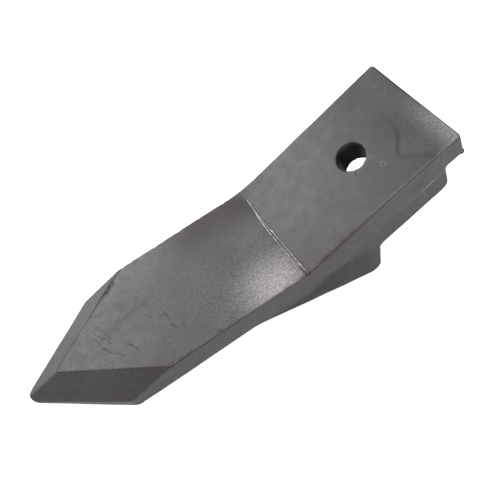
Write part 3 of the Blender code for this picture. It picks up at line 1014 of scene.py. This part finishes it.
    def build(self) -> bpy.types.Object:
        """Meshes the field, gives it its relief and stores what the finish reads.

        Returns:
            The skin, in the row frame.
        """
        margin = 3 * self.step
        length = self.strap_length + (self.nose + 0.002) * cos(self.blade_pitch)
        counts = [int(np.ceil(span / self.step)) + 1 for span in
                  (length + 2 * margin, self.width + 2 * margin, self.full_depth + 2 * margin)]
        lows = np.array([-margin, -self.width / 2 - margin, -self.full_depth - margin])
        axes = [low + self.step * np.arange(count) for low, count in zip(lows, counts)]
        grid = np.stack(np.meshgrid(*axes, indexing="ij"))
        bend = tan(self.blade_pitch)
        grid[2] += bend * np.maximum(grid[0] - self.strap_length, 0.0)
        values = self.distance(grid.reshape(3, -1), False).value.reshape(counts)
        steps, quads = surface_net(values)
        points = lows + steps * self.step
        points[:, 2] += bend * np.maximum(points[:, 0] - self.strap_length, 0.0)
        points, _ = self.settle(points, 4)
        for _ in range(3):
            points += 0.5 * (neighbour_mean(points, quads) - points)
            points, _ = self.settle(points, 2)
        points, normals = self.settle(points, 3)

        height = self.relief(points)
        nudge = 0.00005
        slope = np.stack([(self.relief(points + nudge * axis) - height) / nudge
                          for axis in np.eye(3)], 1)
        slope -= (slope * normals).sum(1)[:, None] * normals
        raised = points + height[:, None] * normals
        bent = normals - slope
        bent /= np.linalg.norm(bent, axis=1)[:, None]

        turn = np.array(self.to_world.to_3x3())
        world = raised @ turn.T + np.array(self.to_world.translation)
        skin = mesh_object("tooth_skin", world, quads, bent @ turn.T)
        self.store_masks(skin, points, normals)
        return skin

    def store_masks(self, skin: bpy.types.Object, points: Array, normals: Array) -> None:
        """Stores the skin's tone with its painted light and shade, how coarse it is with its painted
        glints, how much darker it is below with painted shade inside the hole, and how ground, rusted or
        near an edge it is, and its place.

        Each mask is a sum or product of smooth steps of the place on the strap or the blade. The
        edge mask is the field's value 2.2 mm under the skin, which is less deep beside an edge.

        Args:
            skin: the object whose mesh takes the attributes.
            points: a (points, 3) array in the tooth's frame.
            normals: the field's gradients there.
        """
        blade = self.blade_place(points)
        along, across, depth = blade.T
        x, y, z = points.T
        on_blade = smooth_step(along, 0.001, 0.003) * smooth_step(normals[:, 2], 0.5, 0.85)
        on_strap = (smooth_step(self.strap_length + 0.001 - x, 0.0, 0.002)
                    * smooth_step(normals[:, 2], 0.8, 0.95))
        rear_corner = smooth_step(0.013 - x, 0.0, 0.011) * smooth_step(y, -0.014, 0.028) * on_strap
        # The patch is where a painted sheen lies on the blade near the crease by the near edge; the skin
        # is coarse there too.
        patch = smooth_step(across, 0.004, 0.032) * smooth_step(0.050 - along, 0.0, 0.034) * on_blade
        patch = patch * (0.62 + 0.38 * smooth_step(along, 0.0, 0.012))
        wide = smooth_step(across, -0.012, 0.020) * smooth_step(0.075 - along, 0.0, 0.040) * on_blade
        far = smooth_step(-across, 0.008, 0.030)
        behind = smooth_step(self.lap_line(y) - x, 0.0, 0.005) * on_strap
        inner = self.distance((points - 0.0022 * normals).T, False).value
        edge = smooth_step(inner, -0.0021, -0.0012)

        # Painted light: the strap darker at its rear and paler towards the crease, with a painted
        # highlight at its rear corner on the near side.
        tone = 1.0 + on_strap * (-0.19 + 0.23 * smooth_step(x, 0.014, 0.066)) + 0.95 * rear_corner
        # A painted sheen on the patch, and painted light on the blade just past the crease.
        tone += 2.2 * patch + on_blade * 0.18 * smooth_step(0.036 - along, 0.0, 0.025) * (1 - far)
        # Painted light on the strap's near side towards its rear.
        tone += (0.10 * on_strap * smooth_step(y, -0.005, 0.030)
                 * smooth_step(0.050 - x, 0.0, 0.025))
        # Painted shade on the far side of the strap's front and of the blade's root.
        tone -= 0.13 * far * on_strap * smooth_step(x, 0.070, 0.095)
        tone -= 0.30 * far * on_blade * smooth_step(0.062 - along, 0.0, 0.020)
        # Painted light towards the point, and more of it on the far side there.
        tone += on_blade * (0.07 * smooth_step(along, 0.080, 0.120)
                            + 0.10 * far * smooth_step(along, 0.06, 0.07))
        # Painted shade in a line just behind the lap's step.
        lap = np.exp(-((self.lap_line(y) - x - 0.0012) / 0.0016)**2)
        tone -= 0.13 * lap * on_strap * smooth_step(y, 0.002, 0.012)
        # A painted highlight along the upper edges of the strap's near side towards its rear.
        wear_and_edge_highlight = smooth_step(0.085 - x, 0.0, 0.060) * smooth_step(y, 0.0, 0.02)
        tone += 0.6 * edge * wear_and_edge_highlight * smooth_step(z, -0.003, -0.001)
        store(skin, "tone", tone)
        # Where the skin is coarse: its stronger bump, and its painted glints.
        store(skin, "coarse_and_glint", np.clip(0.32 * on_blade + 0.60 * wide + 0.45 * patch + 0.35 * behind
                                      + 0.45 * rear_corner, 0, 1))
        store(skin, "edge", edge)

        # Darker below the plate's lower edge and on the heel, and painted shade inside the hole.
        below = np.maximum(-z - self.strap_thickness, depth - self.blade_thickness)
        in_hole = ((np.hypot(x - self.hole_x, y) < self.hole_radius + 0.0003)
                   * smooth_step(-z, 0.0002, 0.0065))
        on_heel = (smooth_step(below + 0.5 * (np.minimum(x, 0.102) - 0.095), -0.001, 0.010)
                   * smooth_step(x, 0.064, 0.082))
        scaled = 0.25 * smooth_step(below, 0.0, 0.006) + 0.55 * on_heel
        store(skin, "low_dark_and_hole_shade", np.maximum(scaled, 1.13 * in_hole))
        bevel = self.bevels(Place(points.T, False)).value
        store(skin, "ground", smooth_step(bevel, -0.00035, -0.0001))

        near_point = smooth_step(across, 0.022, 0.034) * smooth_step(along, 0.080, 0.094)
        from_crease = (x - self.strap_length + 0.006) / 0.022
        near_crease = smooth_step(y, 0.012, 0.030) * np.exp(-from_crease**2)
        far_root = far * smooth_step(0.07 - along, 0.0, 0.03) * on_blade
        store(skin, "rusted", np.clip(0.25 + near_point + 0.7 * near_crease + 0.4 * far_root, 0, 1))
        strap_place = np.stack([x - self.strap_length, y, -z], 1)
        store(skin, "tooth_place", np.where((along > 0)[:, None], blade, strap_place))

    def bead(self, name: str, path: Array, width: float, height: float) -> bpy.types.Object:
        """A thin ridge of flash lying on the skin along a path.

        The path is a smooth run through its corners. At each of its steps the section is a half
        ellipse: path + width sin(a) across + height cos(a) along the skin's normal, with a from
        a little under one foot to a little under the other. It tapers to nothing at both ends.

        Args:
            name: the piece's name.
            path: a (corners, 3) array in the tooth's frame, close to the skin.
            width: half the ridge's width.
            height: how proud it stands.

        Returns:
            The ridge, in the row frame.
        """
        corner_at = np.concatenate([[0], np.cumsum(np.linalg.norm(np.diff(path, axis=0), axis=1))])
        steps = int(corner_at[-1] / self.bead_step)
        run = np.linspace(0, corner_at[-1], steps)
        line = np.stack([np.interp(run, corner_at, path[:, axis]) for axis in range(3)], 1)
        for _ in range(30):
            line[1:-1] = (line[:-2] + 2 * line[1:-1] + line[2:]) / 4
        line, normals = self.settle(line, 3)
        line = line + self.relief(line)[:, None] * normals
        ahead = np.gradient(line, axis=0)
        side = np.cross(ahead, normals)
        side /= np.linalg.norm(side, axis=1)[:, None]
        draw = np.random.default_rng(len(name) + steps)
        knots = steps // 3
        uneven = np.interp(run, np.linspace(0, run[-1], knots), draw.uniform(0.65, 1.15, knots))
        taper = np.minimum(1.0, np.minimum(run, run[-1] - run) / self.bead_taper)**0.5 * uneven
        angle = np.linspace(-0.62 * pi, 0.62 * pi, 9)
        out = (np.sin(angle)[None, :, None] * side[:, None] * width + np.cos(angle)[None, :, None]
               * normals[:, None] * height) * taper[:, None, None]
        grid = (line[:, None] + out)[1:-1]
        turn = np.array(self.to_world.to_3x3())
        local = np.concatenate([grid.reshape(-1, 3), line[[0, -1]]])
        world = local @ turn.T + np.array(self.to_world.translation)
        count, rings = len(angle), steps - 2
        row, column = np.arange(rings - 1)[:, None], np.arange(count)[None, :]
        beside = (column + 1) % count
        quads = np.stack(np.broadcast_arrays(row * count + beside, (row + 1) * count + beside,
                                             (row + 1) * count + column, row * count + column), 2)
        ends = end_fans(count, rings)
        ridge = mesh_object(name, world, quads.reshape(-1, 4), triangles=ends)
        middle = rings // 2
        spokes = grid[middle, :2] - line[middle + 1]
        if np.cross(spokes[0], spokes[1]) @ ahead[middle] < 0:
            ridge.data.flip_normals()
        store(ridge, "tone", np.full(len(local), 0.75))
        store(ridge, "rusted", np.full(len(local), 0.4))
        store(ridge, "tooth_place", local)
        return ridge

    def crease_path(self, places: Array) -> Array:
        """Corners given across and along the blade, as points in the tooth's frame."""
        y, along = places.T
        return np.stack([self.strap_length + along * cos(self.blade_pitch), y,
                         along * sin(self.blade_pitch)], 1)

    def flash(self) -> list[bpy.types.Object]:
        """The two beads in the crease, the rest of the parting line, and the burr at the rear."""
        upper = self.crease_path(np.array([(-0.0290, 0.0012), (-0.0120, 0.0019), (0.0000, 0.0013),
                                           (0.0100, 0.0010), (0.0200, 0.0007), (0.0280, 0.0005),
                                           (0.0360, 0.0000)]))
        lower = self.crease_path(np.array([(-0.0170, 0.0020), (-0.0110, 0.0026), (-0.0040, 0.0028),
                                           (0.0050, 0.0026), (0.0140, 0.0024), (0.0220, 0.0020),
                                           (0.0300, 0.0012)]))
        parting = np.array([(0.0313, 0.0360, -0.0192), (0.0255, 0.0360, -0.0203),
                            (0.0199, 0.0360, -0.0211)])
        burr = np.array([(0.0030, 0.0356, -0.0176), (0.0014, 0.0354, -0.0178),
                         (0.0003, 0.0340, -0.0178), (0.0001, 0.0312, -0.0178)])
        return [self.bead("crease_flash_upper", upper, 0.00034, 0.00026),
                self.bead("crease_flash_lower", lower, 0.00030, 0.00022),
                self.bead("parting_flash", parting, 0.00032, 0.00020),
                self.bead("rear_burr", burr, 0.00042, 0.0013)]


# ---- the bolt kit ----

CORNER_RADIUS = 0.0008          # a hexagon's corners in plan
RIM_SHARE = 0.94                # a chamfered face's rim, as a share of half its flats
CHAMFER_SLANT = tan(radians(28))
RINGS_PER_TURN = 12             # rings to each turn of a thread

class Ends(Enum):
    """How a turned outline ends: joined to its start in a ring, or closed in a pole at each end."""

    RING = "ring"
    POLES = "poles"


class Outline:
    """A turned piece's outline: one ring of radii and heights for each of its steps."""

    def __init__(self, segments: int) -> None:
        """Starts an empty outline of that many angles."""
        self.segments = segments
        self.radii: list[Array] = []
        self.heights: list[Array] = []

    def add(self, radius: Array | float, height: Array | float) -> None:
        """One more ring."""
        self.radii.append(np.broadcast_to(radius, (self.segments,)))
        self.heights.append(np.broadcast_to(height, (self.segments,)))

    def fillet(self, radius: float, height: float, size: float) -> None:
        """Five rings round a hollow corner, from a level face up into an upright one."""
        for turn in np.linspace(0, pi / 2, 5):
            self.add(radius + size * (1 - sin(turn)), height + size * (1 - cos(turn)))

    def grids(self) -> tuple[Array, Array]:
        """The (steps, segments) arrays of radii and heights."""
        return np.stack(self.radii), np.stack(self.heights)


@dataclass
class Turned:
    """A turned or hexagonal piece about an upright axis, as a grid of outline steps by angle."""

    axis_x: float
    axis_y: float
    segments: int = 144
    merge: float = 2e-6

    def angles(self) -> Array:
        """Evenly spread angles."""
        return np.arange(self.segments) * 2 * pi / self.segments

    def hexagon(self, flats: float, radius: float) -> Array:
        """The distance out to a hexagon with flats facing X and its corners rounded.

        With a the angle from the nearest flat's middle, the flat is at flats / 2 / cos(a). The
        rounding is a power mean of the two nearest flats' distances.
        """
        angle = self.angles()
        power = flats / radius
        shares = [np.maximum(np.cos(angle - k * pi / 3), 1e-6)**power for k in range(6)]
        return flats / 2 / np.sum(shares, 0)**(1 / power)

    def skin(self, name: str, radii: Array, heights: Array, ends: Ends) -> bpy.types.Object:
        """A mesh from a grid of radii and heights, one row an outline step, one column an angle.

        Rings that coincide are merged, so that no face is without area.

        Args:
            name: the piece's name.
            radii: a (steps, segments) array, running up the outside.
            heights: a (steps, segments) or (steps, 1) array.
            ends: how the outline ends.

        Returns:
            The object, in the row frame.
        """
        angle = self.angles()
        heights = np.broadcast_to(heights, radii.shape)
        points = np.stack([self.axis_x + radii * np.cos(angle),
                           self.axis_y + radii * np.sin(angle), heights], 2).reshape(-1, 3)
        steps, turns = radii.shape
        row = np.arange(steps if ends is Ends.RING else steps - 1)[:, None]
        column = np.arange(turns)[None, :]
        after, beside = (row + 1) % steps, (column + 1) % turns
        quads = np.stack(np.broadcast_arrays(row * turns + column, row * turns + beside,
                                             after * turns + beside, after * turns + column), 2)
        fans = None
        if ends is Ends.POLES:
            poles = [(self.axis_x, self.axis_y, heights[step, 0]) for step in (0, -1)]
            points = np.concatenate([points, np.array(poles)])
            fans = end_fans(turns, steps)
        obj = mesh_object(name, points, quads.reshape(-1, 4), triangles=fans)
        whole = bmesh.new()
        whole.from_mesh(obj.data)
        bmesh.ops.remove_doubles(whole, verts=whole.verts, dist=self.merge)
        whole.to_mesh(obj.data)
        whole.free()
        obj.data.shade_smooth()
        obj.data.set_sharp_from_angle(angle=radians(38))
        return obj


def thread_radius(height: float, angle: Array, pitch: float, crest: float, root: float) -> Array:
    """A right-hand thread's radius: a flat-topped V wave of (height / pitch - angle / turn)."""
    phase = (height / pitch - angle / (2 * pi)) % 1.0
    ramp = 1 - np.abs(2 * phase - 1)
    return root + (crest - root) * np.clip(ramp * 1.35 - 0.12, 0.0, 1.0)


@dataclass
class FixingBolt:
    """The hexagon bolt, standing on its head."""

    axis_x: float
    axis_y: float
    flats: float = 0.0240
    head: float = 0.0100
    length: float = 0.0600
    thread: float = 0.0380
    shank: float = 0.0080
    crest: float = 0.0079
    root: float = 0.0068
    pitch: float = 0.0020
    fillet: float = 0.0007
    point: float = 0.0016

    def build(self) -> bpy.types.Object:
        """Carries the outline up the head, its bearing face, the shank and the thread."""
        turned = Turned(self.axis_x, self.axis_y)
        angle = turned.angles()
        hexagon = turned.hexagon(self.flats, CORNER_RADIUS)
        reach = self.flats / 2 / cos(pi / 6)
        rim = self.flats / 2 * RIM_SHARE
        top = self.head + self.length
        start = top - self.thread
        outline = Outline(turned.segments)
        for share in (0.0, 0.45, 0.85):
            outline.add(rim * share + 1e-4, 0.0)
        for share in np.linspace(0, 1, 9):
            radius = np.minimum(rim + (reach - rim) * share, hexagon)
            outline.add(radius, (radius - rim) * CHAMFER_SLANT)
        for height in np.linspace(0.004, self.head - 0.0006, 5):
            outline.add(hexagon, height)
        outline.add(hexagon - 0.0003, self.head - 0.0001)
        outline.add(np.minimum(hexagon, rim + 0.0001), self.head - 0.0001)
        outline.add(rim, self.head)
        outline.add(self.shank + 0.0009, self.head)
        outline.fillet(self.shank, self.head, self.fillet)
        outline.add(self.shank, start - 0.0012)
        for share in np.linspace(0, 1, int(self.thread / self.pitch * RINGS_PER_TURN)):
            height = start + share * (self.thread - 0.0004)
            fade_in = smooth_step(np.array(height), start, start + 0.003)
            cone = self.shank - max(0.0, height - (top - self.point))
            cut = thread_radius(height, angle, self.pitch, self.crest, self.root)
            outline.add(np.minimum(self.shank + (cut - self.shank) * fade_in, cone), height)
        outline.add(self.root - 0.0004, top)
        outline.add(self.root * 0.5, top)
        bolt = turned.skin("bolt_skin", *outline.grids(), Ends.POLES)
        place = np.empty(3 * len(bolt.data.vertices))
        bolt.data.vertices.foreach_get("co", place)
        x, y, z = place.reshape(-1, 3).T
        away = np.hypot(x - self.axis_x, y - self.axis_y)
        crests = smooth_step(away, 0.0077, 0.0079) * (z > start)
        corners = smooth_step(away, 0.0129, 0.0137)
        store(bolt, "edge", np.maximum(crests, corners))
        return bolt


@dataclass
class FlatWasher:
    """A stamped washer: rolled over a little at its upper rim, sharp at its lower one."""

    axis_x: float
    axis_y: float
    low: float
    outer: float = 0.0150
    inner: float = 0.0087
    thickness: float = 0.0030

    def build(self, name: str) -> bpy.types.Object:
        """Carries the stamped section once round."""
        turned = Turned(self.axis_x, self.axis_y)
        high = self.low + self.thickness
        arc = np.linspace(0, pi / 2, 6)
        profile = [(self.inner + 0.0002, self.low), (self.outer - 0.0002, self.low),
                   (self.outer, self.low + 0.0002)]
        rolled, lip = 0.0006, 0.0005
        profile += [(self.outer - rolled * (1 - cos(a)), high - rolled * (1 - sin(a))) for a in arc]
        profile += [(self.inner + lip * (1 - sin(a)), high - lip * (1 - cos(a))) for a in arc]
        profile += [(self.inner, self.low + 0.0002)]
        section = np.array(profile)
        radii = np.repeat(section[:, :1], turned.segments, 1)
        return turned.skin(name, radii, section[:, 1:], Ends.RING)


@dataclass
class LockNut:
    """The hexagon nut with a collar that holds a nylon ring."""

    axis_x: float
    axis_y: float
    low: float
    flats: float = 0.0240
    height: float = 0.0120
    collar: float = 0.0040
    collar_outer: float = 0.0108
    collar_inner: float = 0.0094
    lip: float = 0.0008
    lip_inner: float = 0.0088
    groove: float = 0.0034
    fillet: float = 0.0006
    rolled: float = 0.0010
    crest: float = 0.0081
    root: float = 0.0089
    pitch: float = 0.0020

    def build(self) -> bpy.types.Object:
        """Carries the outline up the hexagon, over the collar, under its lip and down the bore."""
        turned = Turned(self.axis_x, self.axis_y)
        hexagon = turned.hexagon(self.flats, CORNER_RADIUS)
        angle = turned.angles()
        rim = self.flats / 2 * RIM_SHARE
        reach = self.flats / 2 / cos(pi / 6)
        base, top = self.low + self.height, self.low + self.height + self.collar
        outline = Outline(turned.segments)
        outline.add(self.root + 0.0004, self.low)
        outline.add(rim, self.low)
        for share in np.linspace(0.1, 1, 8):
            radius = np.minimum(rim + (reach - rim) * share, hexagon)
            outline.add(radius, self.low + (radius - rim) * CHAMFER_SLANT)
        for height in np.linspace(self.low + 0.003, base - 0.003, 4):
            outline.add(hexagon, height)
        for share in np.linspace(1, 0.1, 8):
            radius = np.minimum(rim + (reach - rim) * share, hexagon)
            outline.add(radius, base - (radius - rim) * CHAMFER_SLANT)
        outline.add(rim, base)
        outline.fillet(self.collar_outer, base, self.fillet)
        for turn in np.linspace(0, pi / 2, 6):
            outline.add(self.collar_outer - self.rolled * (1 - cos(turn)),
                        top - self.rolled * (1 - sin(turn)))
        outline.add(self.lip_inner + 0.0003, top)
        outline.add(self.lip_inner, top - 0.0003)
        outline.add(self.lip_inner, top - self.lip)
        outline.add(self.collar_inner, top - self.lip)
        seat = top - self.lip - self.groove
        outline.add(self.collar_inner, seat)
        outline.add(self.root + 0.0002, seat)
        count = int((seat - self.low) / self.pitch * RINGS_PER_TURN)
        for height in np.linspace(seat - 0.0002, self.low + 0.0006, count):
            outline.add(thread_radius(height, angle, self.pitch, self.crest, self.root), height)
        return turned.skin("nut_skin", *outline.grids(), Ends.RING)


@dataclass
class LockInsert:
    """The nylon ring inside the nut's collar."""

    axis_x: float
    axis_y: float
    low: float
    high: float
    outer: float = 0.0091
    inner: float = 0.0082

    def build(self) -> bpy.types.Object:
        """Carries a section with a crowned bore once round."""
        turned = Turned(self.axis_x, self.axis_y)
        arc = np.linspace(-1, 1, 9)
        middle, half = (self.low + self.high) / 2, (self.high - self.low) / 2
        profile = [(self.outer - 0.0002, self.low), (self.outer, self.low + 0.0002),
                   (self.outer, self.high - 0.0002), (self.outer - 0.0002, self.high)]
        profile += [(self.inner + 0.0004 * a * a, middle - half * a) for a in arc]
        section = np.array(profile)
        radii = np.repeat(section[:, :1], turned.segments, 1)
        return turned.skin("insert_skin", radii, section[:, 1:], Ends.RING)


# ---- the studio ----

@dataclass
class Studio:
    """Plain pale floor, soft lights and the camera."""

    floor_reach: float = 15.0
    floor_gap: float = 0.0002
    sky: float = 0.80
    aim: tuple[float, float, float] = (0.0, 0.0, 0.03)
    camera_place: tuple[float, float, float] = (0.06565, 0.13860, 0.27120)
    camera_turn: tuple[float, float, float] = (34.802, 0.564, 148.752)
    lens: float = 34.199

    def build(self) -> None:
        """Sets out the floor, the lights, the sky and the camera."""
        self.floor()
        self.lights()
        self.camera()

    def floor(self) -> None:
        """A wide matte floor that touches the tooth's lowest points."""
        corners = self.floor_reach * np.array([(-1, -1, 0), (1, -1, 0), (1, 1, 0), (-1, 1, 0)], float)
        corners[:, 2] = CAD_BOX[0][2] - self.floor_gap
        floor = mesh_object("studio_floor", corners, np.array([[0, 1, 2, 3]]))
        floor.data.materials.append(PaleFloor().material())

    def area_light(self, name: str, place: tuple[float, float, float], size: float,
                   power: float) -> None:
        """One square soft box, aimed at the tooth."""
        lamp = bpy.data.lights.new(name, "AREA")
        lamp.size = size
        lamp.energy = power
        obj = bpy.data.objects.new(name, lamp)
        obj.location = place
        obj.rotation_mode = "QUATERNION"
        obj.rotation_quaternion = (Vector(self.aim) - Vector(place)).to_track_quat("-Z", "Y")
        bpy.context.scene.collection.objects.link(obj)

    def lights(self) -> None:
        """A bright even sky, a soft box on the far side by the point, and a weak low one."""
        world = bpy.data.worlds.new("studio_sky")
        world.use_nodes = True
        background = world.node_tree.nodes["Background"]
        background.inputs["Color"].default_value = (1.0, 1.0, 1.0, 1.0)
        background.inputs["Strength"].default_value = self.sky
        bpy.context.scene.world = world
        self.area_light("key", (0.50, -0.80, 0.60), 0.9, 10.0)
        self.area_light("far_rim", (0.10, -1.10, 0.25), 0.5, 2.2)

    def camera(self) -> None:
        """The camera above the tooth's left side, looking down and a little towards the rear."""
        data = bpy.data.cameras.new("camera")
        data.sensor_width = 36.0
        data.lens = self.lens
        data.clip_start, data.clip_end = 0.01, 60.0
        obj = bpy.data.objects.new("camera", data)
        obj.location = self.camera_place
        obj.rotation_euler = Euler([radians(a) for a in self.camera_turn], "XYZ")
        bpy.context.scene.collection.objects.link(obj)
        bpy.context.scene.camera = obj
        bpy.context.scene.view_settings.view_transform = "Standard"


# ---- assembly ----

def dress(piece: bpy.types.Object, material: bpy.types.Material, body: str, slot: str,
          *nodes: str) -> None:
    """Gives a piece its finish, its body and the CAD nodes that it stands for.

    Args:
        piece: the piece.
        material: its finish.
        body: the body that it rides on.
        slot: not used.
        nodes: the CAD nodes that it replaces, if any.
    """
    piece.data.materials.clear()
    piece.data.materials.append(material)
    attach(piece, body)
    if nodes:
        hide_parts(*nodes)
    log.info("%s: %d faces on %s", piece.name, len(piece.data.polygons), body)


def main() -> None:
    """Builds every piece in order, then the studio."""
    logging.basicConfig(level=logging.INFO, format="%(message)s")
    tooth = ToothBody()
    steel, bright = ForgedSteel().material(), BrightFlash().material()
    dress(tooth.build(), steel, "tooth", "tooth_steel", "tooth_body")
    for ridge in tooth.flash():
        dress(ridge, steel if ridge.name == "rear_burr" else bright, "tooth", "tooth_steel")

    low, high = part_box("fixing_bolt")
    axis_x, axis_y = (low[0] + high[0]) / 2, (low[1] + high[1]) / 2
    bolt = FixingBolt(axis_x, axis_y).build()
    dress(bolt, BlackBolt().material(), "bolt", "bolt_steel", "fixing_bolt")
    for name in ("head_washer", "nut_washer"):
        washer = FlatWasher(axis_x, axis_y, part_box(name)[0][2]).build(f"{name}_skin")
        dress(washer, ZincPlate(f"zinc_{name}").material(), name, "zinc_washer", name)
    nut = LockNut(axis_x, axis_y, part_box("lock_nut")[0][2]).build()
    dress(nut, ZincPlate("zinc_nut").material(), "lock_nut", "zinc_nut", "lock_nut")
    low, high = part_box("lock_insert")
    insert = LockInsert(axis_x, axis_y, low[2], high[2]).build()
    dress(insert, BlueNylon().material(), "lock_insert", "nylon_insert", "lock_insert")

    Studio().build()


if __name__ == "__main__":
    main()
